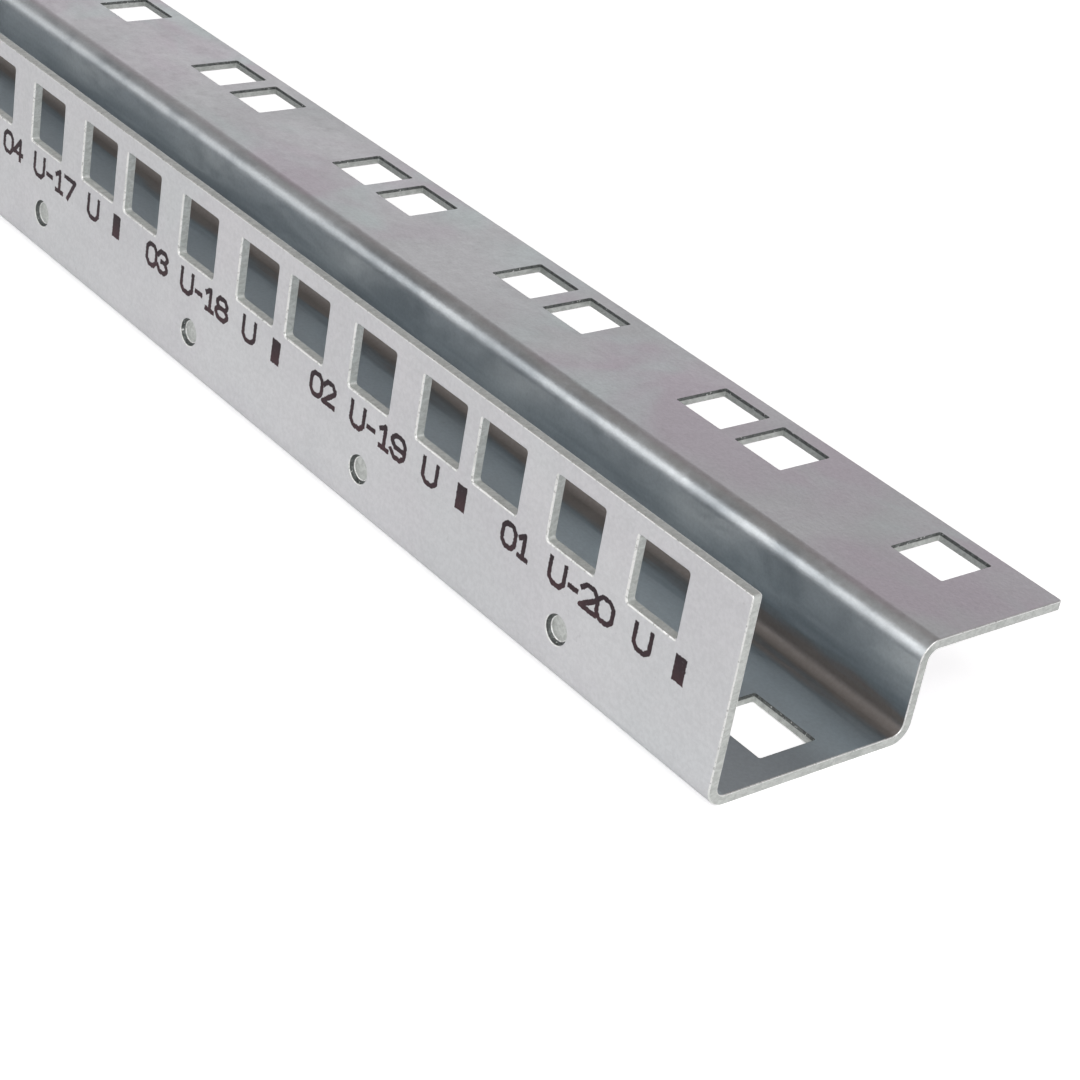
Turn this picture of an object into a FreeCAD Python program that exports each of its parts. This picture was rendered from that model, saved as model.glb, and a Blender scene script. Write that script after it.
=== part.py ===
import FreeCAD, Part
import math
import os
import Sketcher

# Rack rail, 20 rack units: one length of folded sheet steel. Its section is a
# tall front flange, a base web that it lies on, a short riser and an outer
# flange. X runs along the rail, the front flange faces -Y and Z is up. The
# origin is the middle of the underside.

doc = FreeCAD.newDocument("rack_rail")

# Driving sizes, in millimetres. Each is written once, here.
SIZES = [
    ("unit_pitch", 44.45, "height of one rack unit"),
    ("unit_count", 20, "rack units on the rail"),
    ("end_margin", 9.0, "from the outermost unit line to the cut end"),
    ("sheet_gauge", 1.5, "thickness of the sheet"),
    ("bend_inside", 1.5, "inside radius of the three bends"),
    ("front_height", 30.5, "underside to the edge of the front flange"),
    ("base_width", 35.0, "front face to the outer face of the riser"),
    ("step_height", 15.2, "underside to the top of the outer flange"),
    ("flange_reach", 24.5, "outer face of the riser to the flange's edge"),
    ("square_hole", 9.5, "side of a square hole for a cage nut"),
    ("corner_cut", 0.5, "flat across each corner of a front hole"),
    ("unit_gap", 12.7, "between the holes on either side of a unit line"),
    ("row_to_edge", 7.5, "middle of a row of holes to its flange's edge"),
    ("slot_width", 9.5, "web slot across the rail"),
    ("slot_length", 11.4, "web slot along the rail"),
    ("slot_shift", 0.8, "middle of a slot past its unit line"),
    ("slot_row", 17.2, "front face to the middle of the web slots"),
    ("dimple_width", 4.2, "diameter of the half-sheared dimples"),
    ("dimple_depth", 0.7, "depth of a dimple, height of the pip behind"),
    ("dimple_height", 7.6, "underside to the middle of a dimple"),
]

sheet = doc.addObject("Spreadsheet::Sheet", "Sizes")
for row, (alias, value, note) in enumerate(SIZES, start=1):
    sheet.set(f"A{row}", alias)
    sheet.set(f"B{row}", str(value))
    sheet.set(f"C{row}", note)
    sheet.setAlias(f"B{row}", alias)
doc.recompute()

body = doc.addObject("PartDesign::Body", "rack_rail")
body.Label = "rack_rail"

# Lengths and places that follow from the driving sizes. Along the rail, places
# count from its middle. The unit line nearest the +X end is FIRST_LINE.
LENGTH = "(Sizes.unit_count * Sizes.unit_pitch + 2 * Sizes.end_margin)"
WIDTH = "(Sizes.base_width + Sizes.flange_reach)"
FIRST_LINE = "Sizes.unit_count * Sizes.unit_pitch / 2"
SPACING = "(Sizes.unit_pitch - Sizes.unit_gap) / 2"
HOLE = FIRST_LINE + " - Sizes.unit_gap / 2 - {0} * " + SPACING
HALF_HOLE = "Sizes.square_hole / 2"
ORIGIN = -1


def number(expression):
    """The value that an expression of the driving sizes has now."""
    return float(body.evalExpression(expression))


def datum(role):
    """The body's own origin plane or axis with this role."""
    for feature in body.Origin.OriginFeatures:
        if feature.Role == role:
            return feature
    raise RuntimeError("no origin feature " + role)


def new_sketch(name, role, level=None):
    """A sketch on an origin plane, or moved off it by level."""
    sketch = body.newObject("Sketcher::SketchObject", name)
    sketch.AttachmentSupport = (datum(role), [""])
    sketch.MapMode = "FlatFace"
    if level:
        sketch.setExpression("AttachmentOffset.Base.z", level)
    return sketch


def line(sketch, start, end):
    first = FreeCAD.Vector(start[0], start[1], 0)
    last = FreeCAD.Vector(end[0], end[1], 0)
    return sketch.addGeometry(Part.LineSegment(first, last), False)


def quarter_arc(sketch, centre, radius, quadrant):
    """A quarter circle, anticlockwise, that starts at quadrant quarter turns."""
    middle = FreeCAD.Vector(centre[0], centre[1], 0)
    circle = Part.Circle(middle, FreeCAD.Vector(0, 0, 1), radius)
    start = quadrant * math.pi / 2
    piece = Part.ArcOfCircle(circle, start, start + math.pi / 2)
    return sketch.addGeometry(piece, False)


def tie(sketch, kind, *arguments):
    sketch.addConstraint(Sketcher.Constraint(kind, *arguments))


def bind(sketch, name, expression, *constraint):
    """A named dimension whose value follows the sheet."""
    now = number(expression)
    index = sketch.addConstraint(Sketcher.Constraint(*constraint, now))
    sketch.renameConstraint(index, name)
    sketch.setExpression("Constraints." + name, expression)


def closed_ring(sketch, corners):
    """Straight edges from corner to corner and back to the first."""
    ring = []
    for index, start in enumerate(corners):
        ring.append(line(sketch, start, corners[(index + 1) % len(corners)]))
    for index, edge in enumerate(ring):
        tie(sketch, "Coincident", edge, 2, ring[(index + 1) % len(ring)], 1)
    return ring


def place_hole(sketch, name, ring, size, start):
    """Holds the four long sides of a hole square, to size and in place."""
    bottom, side1, top, side2 = ring
    tie(sketch, "Horizontal", bottom)
    tie(sketch, "Horizontal", top)
    tie(sketch, "Vertical", side1)
    tie(sketch, "Vertical", side2)
    bind(sketch, name + "_across", size[0], "DistanceX", side2, 1, side1, 1)
    bind(sketch, name + "_up", size[1], "DistanceY", bottom, 1, top, 1)
    bind(sketch, name + "_near", start[0], "DistanceX", ORIGIN, 1, side1, 1)
    bind(sketch, name + "_low", start[1], "DistanceY", ORIGIN, 1, bottom, 1)


def sharp_hole(sketch, name, middle, size):
    """A plain rectangle. middle and size are pairs of expressions, along the
    sketch's two axes."""
    across, up = size
    near = f"{middle[0]} + {across} / 2"
    low = f"{middle[1]} - {up} / 2"
    x1, y0 = number(near), number(low)
    x0, y1 = x1 - number(across), y0 + number(up)
    corners = [(x0, y0), (x1, y0), (x1, y1), (x0, y1)]
    ring = closed_ring(sketch, corners)
    place_hole(sketch, name, ring, (across, up), (near, low))


def front_hole(sketch, name, middle, size):
    """A rectangle with its corners cut off, placed as a sharp one is."""
    across, up = size
    near = f"{middle[0]} + {across} / 2"
    low = f"{middle[1]} - {up} / 2"
    c = number("Sizes.corner_cut")
    x1, y0 = number(near), number(low)
    x0, y1 = x1 - number(across), y0 + number(up)
    corners = [
        (x0 + c, y0),
        (x1 - c, y0),
        (x1, y0 + c),
        (x1, y1 - c),
        (x1 - c, y1),
        (x0 + c, y1),
        (x0, y1 - c),
        (x0, y0 + c),
    ]
    ring = closed_ring(sketch, corners)
    cut1, cut2, cut3, cut4 = ring[1::2]
    ends = {cut1: (1, 1), cut2: (-1, 1), cut3: (-1, -1), cut4: (1, -1)}
    for index, (edge, (to_right, upward)) in enumerate(ends.items(), start=1):
        for axis, sign in (("DistanceX", to_right), ("DistanceY", upward)):
            start, end = (1, 2) if sign > 0 else (2, 1)
            label = f"{name}_cut{index}_{axis[-1]}"
            bind(sketch, label, "Sizes.corner_cut", axis, edge, start, edge, end)
    place_hole(sketch, name, ring[0::2], (across, up), (near, low))


def cut(name, sketch, depth):
    """A pocket of this depth, on the side of the sketch where the metal is."""
    pocket = body.newObject("PartDesign::Pocket", name)
    pocket.Profile = sketch
    pocket.Type = "Length"
    pocket.setExpression("Length", depth)
    pocket.Reversed = False
    sketch.Visibility = False
    return pocket


def repeat(name, feature, count):
    """Copies of a feature at every rack unit, from the +X end towards -X."""
    pattern = body.newObject("PartDesign::LinearPattern", name)
    pattern.Originals = [feature]
    pattern.Direction = (datum("X_Axis"), [""])
    pattern.Reversed = True
    pattern.Mode = "Spacing"
    pattern.setExpression("Offset", "Sizes.unit_pitch")
    pattern.setExpression("Occurrences", count)
    body.Tip = pattern


def check_change(before, sign, what):
    """Every cut takes metal away and every boss adds some. Gives the new volume."""
    doc.recompute()
    after = body.Shape.Volume
    if (after - before) * sign <= 0:
        raise RuntimeError(what + " did not change the rail as it should")
    return after


# The folded section, seen from the +X end: Y to the right and Z up. Each bend
# is two arcs about one centre, so the sheet keeps its gauge all the way round.
section = new_sketch("section", "YZ_Plane")
gauge = number("Sizes.sheet_gauge")
inner = number("Sizes.bend_inside")
outer = inner + gauge
top = number("Sizes.front_height")
foot = number("Sizes.base_width")
step = number("Sizes.step_height")
edge = number(WIDTH)
front_face = line(section, (0, top), (0, outer))
front_bend_out = quarter_arc(section, (outer, outer), outer, 2)
underside = line(section, (outer, 0), (foot - outer, 0))
riser_bend_out = quarter_arc(section, (foot - outer, outer), outer, 3)
riser_out = line(section, (foot, outer), (foot, step - outer))
flange_bend_in = quarter_arc(section, (foot + inner, step - outer), inner, 1)
flange_under = line(section, (foot + inner, step - gauge), (edge, step - gauge))
flange_edge = line(section, (edge, step - gauge), (edge, step))
flange_top = line(section, (edge, step), (foot + inner, step))
flange_bend_out = quarter_arc(section, (foot + inner, step - outer), outer, 1)
riser_in = line(section, (foot - gauge, step - outer), (foot - gauge, outer))
riser_bend_in = quarter_arc(section, (foot - outer, outer), inner, 3)
web_top = line(section, (foot - outer, gauge), (outer, gauge))
front_bend_in = quarter_arc(section, (outer, outer), inner, 2)
front_back = line(section, (gauge, outer), (gauge, top))
front_edge = line(section, (gauge, top), (0, top))

for pair in (
    (front_face, 2, front_bend_out, 1),
    (front_bend_out, 2, underside, 1),
    (underside, 2, riser_bend_out, 1),
    (riser_bend_out, 2, riser_out, 1),
    (riser_out, 2, flange_bend_in, 2),
    (flange_bend_in, 1, flange_under, 1),
    (flange_top, 2, flange_bend_out, 1),
    (flange_bend_out, 2, riser_in, 1),
    (riser_in, 2, riser_bend_in, 2),
    (riser_bend_in, 1, web_top, 1),
    (web_top, 2, front_bend_in, 2),
    (front_bend_in, 1, front_back, 1),
):
    tie(section, "Tangent", *pair)
for pair in (
    (flange_under, 2, flange_edge, 1),
    (flange_edge, 2, flange_top, 1),
    (front_back, 2, front_edge, 1),
    (front_edge, 2, front_face, 1),
    (front_bend_out, 3, front_bend_in, 3),
    (riser_bend_out, 3, riser_bend_in, 3),
    (flange_bend_out, 3, flange_bend_in, 3),
):
    tie(section, "Coincident", *pair)
for upright in (front_face, riser_out, flange_edge, riser_in, front_back):
    tie(section, "Vertical", upright)
for level_line in (underside, flange_under, flange_top, web_top, front_edge):
    tie(section, "Horizontal", level_line)
tie(section, "Equal", front_bend_in, riser_bend_in)
tie(section, "Equal", front_bend_in, flange_bend_in)
tie(section, "PointOnObject", front_face, 1, -2)
tie(section, "PointOnObject", underside, 1, -1)
bind(section, "bend", "Sizes.bend_inside", "Radius", front_bend_in)
bind(section, "gauge", "Sizes.sheet_gauge", "DistanceX", front_edge, 2, front_edge, 1)
bind(section, "height", "Sizes.front_height", "DistanceY", ORIGIN, 1, front_face, 1)
bind(section, "base", "Sizes.base_width", "DistanceX", ORIGIN, 1, riser_out, 1)
bind(section, "rise", "Sizes.step_height", "DistanceY", ORIGIN, 1, flange_top, 1)
bind(section, "width", WIDTH, "DistanceX", ORIGIN, 1, flange_edge, 1)

blank = body.newObject("PartDesign::Pad", "folded_blank")
blank.Profile = section
blank.setExpression("Length", LENGTH)
blank.Midplane = True
section.Visibility = False
body.setExpression("Placement.Base.y", f"-{WIDTH} / 2")
metal = check_change(0, 1, "the folded blank")


def dimple_circle(name, level=None):
    """A circle below the middle hole of the first unit."""
    sketch = new_sketch(name, "XZ_Plane", level)
    x = HOLE.format(1)
    centre = FreeCAD.Vector(number(x), number("Sizes.dimple_height"), 0)
    radius = number("Sizes.dimple_width") / 2
    circle = Part.Circle(centre, FreeCAD.Vector(0, 0, 1), radius)
    ring = sketch.addGeometry(circle, False)
    bind(sketch, "width", "Sizes.dimple_width", "Diameter", ring)
    bind(sketch, "along", x, "DistanceX", ORIGIN, 1, ring, 3)
    bind(sketch, "height", "Sizes.dimple_height", "DistanceY", ORIGIN, 1, ring, 3)
    return sketch


# Half-sheared dimples, one a unit: sunk into the front face, with a pip of the
# same width standing out behind.
dimple = dimple_circle("dimple")
repeat("dimple_row", cut("dimple_cut", dimple, "Sizes.dimple_depth"), "Sizes.unit_count")
metal = check_change(metal, -1, "the dimples")

pip = dimple_circle("pip", "-Sizes.sheet_gauge")
pip_boss = body.newObject("PartDesign::Pad", "pip_boss")
pip_boss.Profile = pip
pip_boss.Type = "Length"
pip_boss.setExpression("Length", "Sizes.dimple_depth")
pip_boss.Reversed = True
pip.Visibility = False
repeat("pip_row", pip_boss, "Sizes.unit_count")
metal = check_change(metal, 1, "the pips")

# The base web has one slot at every unit line, both outermost ones included.
web_slots = new_sketch("web_slots", "XY_Plane", "Sizes.sheet_gauge")
sharp_hole(
    web_slots,
    "slot",
    (f"{FIRST_LINE} - Sizes.slot_shift", "Sizes.slot_row"),
    ("Sizes.slot_length", "Sizes.slot_width"),
)
slot_cut = cut("web_slot_cut", web_slots, "Sizes.sheet_gauge")
repeat("web_slot_row", slot_cut, "Sizes.unit_count + 1")
metal = check_change(metal, -1, "the web slots")

# Square holes of one unit in the front flange: three, then repeated.
front_holes = new_sketch("front_holes", "XZ_Plane")
for place in range(3):
    front_hole(
        front_holes,
        f"hole{place}",
        (HOLE.format(place), "Sizes.front_height - Sizes.row_to_edge"),
        ("Sizes.square_hole", "Sizes.square_hole"),
    )
front_cut = cut("front_hole_cut", front_holes, "Sizes.sheet_gauge")
repeat("front_hole_row", front_cut, "Sizes.unit_count")
metal = check_change(metal, -1, "the front row")

# The outer flange has the same row without the middle hole of each unit, so
# its holes stand in pairs about the unit lines.
flange_holes = new_sketch("flange_holes", "XY_Plane", "Sizes.step_height")
for place in (0, 2):
    sharp_hole(
        flange_holes,
        f"hole{place}",
        (HOLE.format(place), f"{WIDTH} - Sizes.row_to_edge"),
        ("Sizes.square_hole", "Sizes.square_hole"),
    )
flange_cut = cut("flange_hole_cut", flange_holes, "Sizes.sheet_gauge")
repeat("flange_hole_row", flange_cut, "Sizes.unit_count")
metal = check_change(metal, -1, "the outer row")

# Nothing is written unless every object is sound and the rail is one solid.
for thing in doc.Objects:
    if "Invalid" in thing.State or "Error" in thing.State:
        raise RuntimeError(thing.Name + " failed")
shape = body.Shape
if shape.isNull() or not shape.isValid() or len(shape.Solids) != 1:
    raise RuntimeError("the rail is not one sound solid")

os.makedirs("parts", exist_ok=True)
shape.exportStep("parts/" + body.Label + ".step")
box = shape.BoundBox
print("rail", round(box.XLength, 3), round(box.YLength, 3), round(box.ZLength, 3))
print("volume", round(shape.Volume, 1), "faces", len(shape.Faces))
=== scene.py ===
import math

import bpy
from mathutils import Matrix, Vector, noise
from mathutils.geometry import delaunay_2d_cdt


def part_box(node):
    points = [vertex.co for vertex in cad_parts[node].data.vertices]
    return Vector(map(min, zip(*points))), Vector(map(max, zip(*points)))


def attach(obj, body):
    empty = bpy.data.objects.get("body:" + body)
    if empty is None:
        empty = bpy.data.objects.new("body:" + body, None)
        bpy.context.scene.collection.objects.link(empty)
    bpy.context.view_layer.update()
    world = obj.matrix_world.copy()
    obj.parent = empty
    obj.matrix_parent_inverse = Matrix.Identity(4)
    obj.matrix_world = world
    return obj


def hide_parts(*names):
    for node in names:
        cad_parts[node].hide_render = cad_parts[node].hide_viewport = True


bl_info = {
    "name": "Rack Rail",
    "version": (1, 0, 0),
    "blender": (4, 5, 0),
    "location": "3D View > Sidebar > Rack Rail",
    "description": "Folds, plates and prints a length of rack rail",
    "category": "Object",
}

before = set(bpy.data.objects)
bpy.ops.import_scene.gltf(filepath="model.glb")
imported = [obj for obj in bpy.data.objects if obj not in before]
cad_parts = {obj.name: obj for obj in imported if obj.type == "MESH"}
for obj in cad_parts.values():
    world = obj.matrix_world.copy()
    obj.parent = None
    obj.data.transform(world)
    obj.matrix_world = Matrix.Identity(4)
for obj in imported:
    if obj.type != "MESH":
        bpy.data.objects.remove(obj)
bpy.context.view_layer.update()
LOW, HIGH = (Vector(corner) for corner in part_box("rack_rail"))
MM = 0.001
UNITS = 20


def size(name, description, default):
    """A length in metres, shown in the scene's own unit."""
    return bpy.props.FloatProperty(
        name=name, description=description, default=default, min=0.0,
        precision=5, subtype="DISTANCE", unit="LENGTH",
    )


def colour(name, description, default):
    """A linear colour."""
    return bpy.props.FloatVectorProperty(
        name=name, description=description, default=default, min=0.0, max=1.0,
        size=3, subtype="COLOR",
    )


class RailSheet(bpy.types.PropertyGroup):
    """The folded sheet: its section, its length and its sheared edges."""

    gauge: size("Sheet", "Thickness of the sheet", 1.5 * MM)
    film: size("Plating", "How far the steel lies under the true face", 0.012 * MM)
    bend: size("Inside bend", "Inside radius of the three bends", 1.5 * MM)
    front: size("Front flange", "Height of the front flange", HIGH.z - LOW.z)
    base: size("Base web", "Front face to the riser's outer face", 35.0 * MM)
    step: size("Step", "Underside to the top of the outer flange", 15.2 * MM)
    width: size("Width", "Front face to the outer flange's edge", HIGH.y - LOW.y)
    run: size("Length", "Length of the rail", HIGH.x - LOW.x)
    edge: size("Sheared edge", "Rounding along the sheared edges", 0.16 * MM)
    blank_corner: size("Blank corner", "Corner radius of the flat sheet", 0.5 * MM)


class RailHoles(bpy.types.PropertyGroup):
    """The punched rows and the half-sheared dimples."""

    unit: size("Rack unit", "Height of one rack unit", 44.45 * MM)
    gap: size("Unit gap", "Between the holes on either side of a unit line", 12.7 * MM)
    row: size("Row", "Middle of a row of holes to its flange's edge", 7.5 * MM)
    square: size("Square hole", "Side of a cage-nut hole", 9.5 * MM)
    corner: size("Front hole corner", "Corner radius of a front hole", 0.45 * MM)
    sharp: size("Other corner", "Corner radius of the other holes", 0.2 * MM)
    slot_run: size("Slot length", "Web slot along the rail", 11.4 * MM)
    slot_row: size("Slot row", "Front face to the row of web slots", 17.2 * MM)
    slot_shift: size("Slot shift", "Middle of a slot past its unit line", 0.8 * MM)
    roll: size("Roll-over", "Width of the lip that the punch rolls over", 0.3 * MM)
    roll_depth: size("Roll-over depth", "Depth of the rolled lip", 0.2 * MM)
    burr: size("Exit edge", "Rounding where the punch comes out", 0.08 * MM)
    taper: size("Break", "How much wider the torn part of a wall is", 0.05 * MM)
    torn: size("Torn depth", "How deep a wall is torn from its exit edge", 0.45 * MM)
    dimple: size("Dimple", "Diameter of a half-sheared dimple", 4.2 * MM)
    dimple_depth: size("Dimple depth", "Depth of a dimple", 0.7 * MM)
    dimple_height: size("Dimple height", "Underside to a dimple", 7.6 * MM)


class UnitScale(bpy.types.PropertyGroup):
    """The printed unit numbers under the front row."""

    height: size("Height", "Height of a numeral", 3.95 * MM)
    digit: size("Numeral", "Width of a numeral that counts up", 3.35 * MM)
    wide_digit: size("Wide numeral", "Width of one that counts down", 3.75 * MM)
    letter: size("Unit letter", "Width of the unit letter", 3.7 * MM)
    advance: size("Advance", "From one numeral to the next", 3.15 * MM)
    stroke: size("Stroke", "Width of a printed line", 0.75 * MM)
    rough: size("Rough edge", "How far the ink wanders at its edges", 0.09 * MM)
    foot: size("Foot", "Underside to the foot of the numerals", 13.0 * MM)
    block: size("Block", "Width of the block on each unit line", 2.1 * MM)


class RailFinish(bpy.types.PropertyGroup):
    """Colours of the plating, the cut metal and the ink, and of the light and shade
    painted on the plating.
    """

    zinc: colour("Zinc", "Bright plated face", (0.735, 0.74, 0.755))
    haze: colour("Haze", "Duller patches of the plating", (0.68, 0.69, 0.705))
    rose: colour("Rose tint", "Warm tint of the passivation", (0.70, 0.64, 0.70))
    teal: colour("Teal tint", "Cool tint of the passivation", (0.73, 0.80, 0.80))
    # Painted shade: a darker, bluer colour for the shade inside the channel.
    channel: colour("Channel", "Bluer plating in the channel", (0.675, 0.745, 0.77))
    # Painted light: a lighter colour for the light that falls on the top of the riser.
    bright: colour("Bright", "Worn plating at the top of the riser", (0.90, 0.94, 0.96))
    # Painted shade: a dark blue colour for the shade beside the lower fold.
    painted_fold_shade: colour("Dusk", "Dark blue film beside the lower fold", (0.29, 0.335, 0.37))
    # Painted reflection: a brown band along the lower fold.
    painted_fold_reflection: colour("Stain", "Brown stain along the lower fold", (0.34, 0.295, 0.265))
    cut: colour("Cut metal", "Sheared walls and ends", (0.665, 0.685, 0.665))
    # Partly painted shade: this dark colour is torn metal and also the shade on the
    # walls of holes and dimples.
    torn: colour("Torn metal", "Where a slug broke out of a hole", (0.25, 0.265, 0.26))
    lip: colour("Burnished lip", "Rolled and rubbed edges", (0.95, 0.955, 0.94))
    ink: colour("Ink", "Printed numbers", (0.020, 0.010, 0.015))


class Studio(bpy.types.PropertyGroup):
    """Camera, floor and light."""

    eye: bpy.props.FloatVectorProperty(
        name="Camera", description="Where the camera stands", size=3,
        default=(0.63011, -0.22955, 0.18131), subtype="TRANSLATION", unit="LENGTH",
    )
    aim: bpy.props.FloatVectorProperty(
        name="Camera turn", description="Tilt, roll and heading", size=3,
        default=(math.radians(60.367), math.radians(-9.022), math.radians(52.028)),
        subtype="EULER", unit="ROTATION",
    )
    lens: bpy.props.FloatProperty(
        name="Lens", description="Focal length on a 36 mm frame, in millimetres",
        default=88.6, min=10.0,
    )
    floor: colour("Floor", "Pale floor", (0.88, 0.88, 0.88))
    sweep: colour("Sweep", "Low part of the studio's wall", (0.84, 0.835, 0.84))
    haze: colour("Haze", "Where the wall starts to dim", (0.76, 0.755, 0.77))
    wall: colour("Wall", "Upper part of the studio's wall", (0.33, 0.325, 0.335))
    shade: colour("Shade", "Dim wall behind the rail", (0.175, 0.165, 0.175))
    ceiling: colour("Ceiling", "Brown ceiling", (0.22, 0.20, 0.185))
    softbox: bpy.props.FloatVectorProperty(
        name="Softbox", description="Direction of the white softbox", size=3,
        default=(-0.491, -0.771, 0.407), subtype="DIRECTION",
    )
    flag: bpy.props.FloatVectorProperty(
        name="Flag", description="Direction of the grey flag", size=3,
        default=(-0.86, -0.38, 0.34), subtype="DIRECTION",
    )
    softbox_light: bpy.props.FloatProperty(
        name="Softbox light", description="How bright the softbox is", default=1.12,
        min=0.0,
    )


GROUPS = {
    "rail_sheet": RailSheet,
    "rail_holes": RailHoles,
    "unit_scale": UnitScale,
    "rail_finish": RailFinish,
    "studio": Studio,
}


# The legs of the folded sheet, counted from the front flange's edge.
FRONT, WEB, OUTER = 0, 2, 6
TURNS = (1, 3, 5)

# Steps through a turn and round a corner of the flat sheet.
TURN_STEPS = 12
BLANK_STEPS = 4

# The sides of the sheet, as signs of n. The lower one has the front face and
# the underside.
LOWER, UPPER = -1, 1


class Fold:
    """Carries the flat sheet to its folded shape.

    On the flat sheet x runs along the rail, s across it from the front
    flange's edge, and n through it from its middle.
    """

    def __init__(self, sheet):
        half = sheet.gauge / 2
        outer = sheet.bend + sheet.gauge
        self.radius = sheet.bend + half
        turn = self.radius * math.pi / 2
        y0 = LOW.y
        foot = y0 + sheet.base
        second = foot + sheet.bend
        # Length, a straight leg's start and way or a quarter turn's centre and
        # first spoke, both as (y, z), and the sense of the turn, 0 for none.
        legs = (
            (sheet.front - outer, (y0 + half, sheet.front), (0, -1), 0),
            (turn, (y0 + outer, outer), (-1, 0), 1),
            (sheet.base - 2 * outer, (y0 + outer, half), (1, 0), 0),
            (turn, (foot - outer, outer), (0, -1), 1),
            (sheet.step - 2 * outer, (foot - half, outer), (0, 1), 0),
            (turn, (second, sheet.step - outer), (-1, 0), -1),
            (y0 + sheet.width - second, (second, sheet.step - half), (1, 0), 0),
        )
        self.legs = []
        self.total = 0.0
        for length, *leg in legs:
            self.legs.append((self.total, self.total + length, leg))
            self.total += length

    def span(self, leg):
        """Where a leg starts and ends, as s."""
        return self.legs[leg][:2]

    def frame_at(self, s):
        """The mid-plane point and the way up through the sheet, as (y, z)."""
        for start, end, (point, way, sense) in self.legs:
            if s <= end:
                break
        point, way = Vector(point), Vector(way)
        if sense == 0:
            return point + way * (s - start), Vector((-way.y, way.x))
        angle = sense * (s - start) / self.radius
        spoke = Vector((
            way.x * math.cos(angle) - way.y * math.sin(angle),
            way.x * math.sin(angle) + way.y * math.cos(angle),
        ))
        return point + spoke * self.radius, spoke * -sense

    def place(self, x, s, n):
        """A point of the flat sheet, carried to its folded place."""
        point, up = self.frame_at(s)
        spot = point + up * n
        return Vector((x, spot.x, spot.y))

    def aim(self, s, lean):
        """A direction of the flat sheet, turned with the fold at s."""
        up = self.frame_at(s)[1]
        way = Vector((up.y, -up.x))
        turned = way * lean[1] + up * lean[2]
        return Vector((lean[0], turned.x, turned.y)).normalized()


def corner_turn(quarter, cx, cs, radius, steps):
    """Places and outward directions round one corner of an outline."""
    turn = []
    for step in range(steps + 1):
        angle = (quarter + step / steps) * math.pi / 2
        out = (math.cos(angle), math.sin(angle))
        turn.append(((cx + radius * out[0], cs + radius * out[1]), out))
    return turn


def punch_outline(across, along, radius, steps):
    """The same round a whole rectangle with round corners."""
    outline = []
    for quarter, (sx, ss) in enumerate(((1, 1), (-1, 1), (-1, -1), (1, -1))):
        cx, cs = sx * (across / 2 - radius), ss * (along / 2 - radius)
        outline += corner_turn(quarter, cx, cs, radius, steps)
    return outline


def round_outline(radius, steps=32):
    """The same round a circle."""
    outline = []
    for step in range(steps):
        angle = 2 * math.pi * step / steps
        out = (math.cos(angle), math.sin(angle))
        outline.append(((radius * out[0], radius * out[1]), out))
    return outline


def rounding(width, depth, steps):
    """A rounded lip from a face over to a wall: how far it has gone across,
    how far it has dropped, and its normal, across and up."""
    stops = []
    for step in range(steps + 1):
        angle = math.pi / 2 * step / steps
        across, up = depth * math.sin(angle), width * math.cos(angle)
        long = math.hypot(across, up)
        stops.append((
            width * math.sin(angle), depth * (1 - math.cos(angle)),
            (across / long, up / long),
        ))
    return stops


def stand(name, data):
    """A new object in the scene."""
    piece = bpy.data.objects.new(name, data)
    bpy.context.scene.collection.objects.link(piece)
    return piece


def new_piece(name, points, faces, materials):
    """A new mesh object. A face that Blender would have to mend is an error."""
    mesh = bpy.data.meshes.new(name)
    mesh.from_pydata(points, [], faces)
    if mesh.validate():
        raise RuntimeError(name + " has a bad face")
    for material in materials:
        mesh.materials.append(material)
    return stand(name, mesh)


# The first four finishes are places in the rail's list of materials. A lit-lip
# band is burnished on one side, a painted highlight where light falls, and
# plated on the other.
# The torn finish is also painted dark as shade.
PLATED, SHEARED, BURNISHED, TORN_SHADED, LIT_LIP = 0, 1, 2, 3, 4
LIT_LIP_FROM = 0.3


# The triangulations give back every triangle, and count points as one that are
# nearer than this, in millimetres.
ALL_TRIANGLES = 0
SHEET_NEAR, INK_NEAR = 1e-5, 1e-4


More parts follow.
